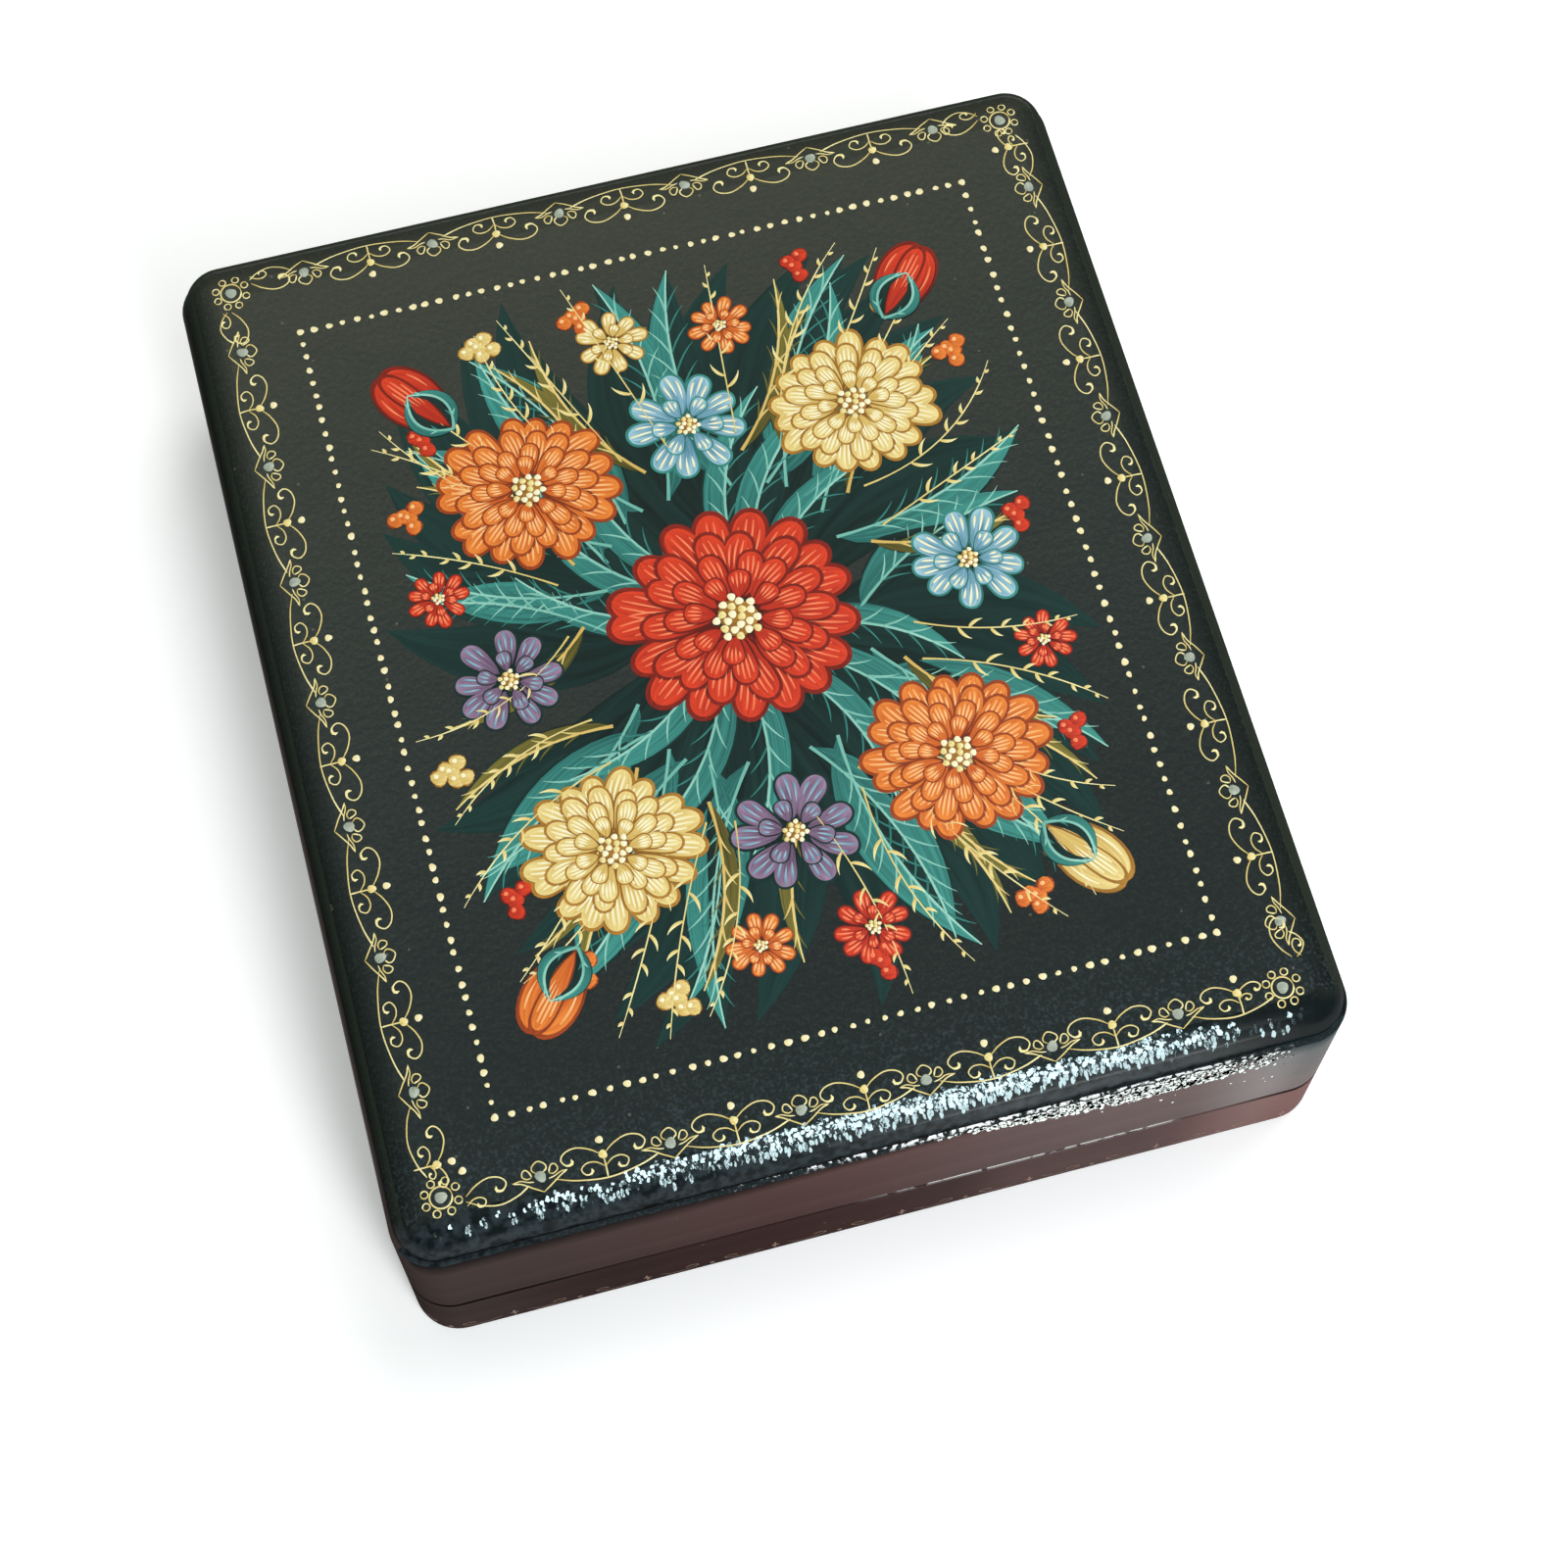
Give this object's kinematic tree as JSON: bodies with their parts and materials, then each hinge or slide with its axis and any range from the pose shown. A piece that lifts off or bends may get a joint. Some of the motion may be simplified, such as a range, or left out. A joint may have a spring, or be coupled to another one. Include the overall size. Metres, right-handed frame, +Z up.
{
  "type": "lacquered trinket box",
  "caption": "Rectangular lacquered papier-mache box with rounded corners, deep hinged lid, inner collar and gold ornamented black top, for keeping trinkets.",
  "frame": {"origin": "middle of the underside", "axes": "+X to the right seen from the front, +Y from the front to the hinged back, +Z up"},
  "size_m": [0.108, 0.1264, 0.0356],
  "materials": {
    "maroon_lacquer": "gloss",
    "black_lacquer": "gloss",
    "red_lacquer": "gloss",
    "brass_wire": "satin",
    "gold_line_paint": "satin",
    "cream_dot_paint": "satin",
    "silver_dot_paint": "satin",
    "bronze_line_paint": "satin",
    "teal_shadow_paint": "gloss",
    "teal_leaf_paint": "gloss",
    "teal_light_paint": "gloss",
    "red_shadow_paint": "gloss",
    "red_petal_paint": "gloss",
    "red_light_paint": "gloss",
    "orange_shadow_paint": "gloss",
    "orange_petal_paint": "gloss",
    "orange_light_paint": "gloss",
    "ochre_petal_paint": "gloss",
    "cream_petal_paint": "gloss",
    "cream_light_paint": "gloss",
    "olive_leaf_paint": "gloss",
    "blue_petal_paint": "gloss",
    "plum_petal_paint": "gloss"
  },
  "bodies": {
    "tray": {"tray_floor": "maroon_lacquer", "tray_wall": "maroon_lacquer", "tray_collar": "red_lacquer", "tray_barrel": "maroon_lacquer", "hinge_pin": "brass_wire"},
    "lid": {"lid_wall": "maroon_lacquer", "lid_panel": "black_lacquer", "lid_barrel_right": "maroon_lacquer", "lid_barrel_left": "maroon_lacquer"}
  },
  "joints": [
    {"name": "lid_hinge", "type": "hinge", "parent": "tray", "child": "lid", "pos_m": [0, 0.0614, 0.01255], "axis": [-1, 0, 0], "range_deg": [0, 100]}
  ]
}
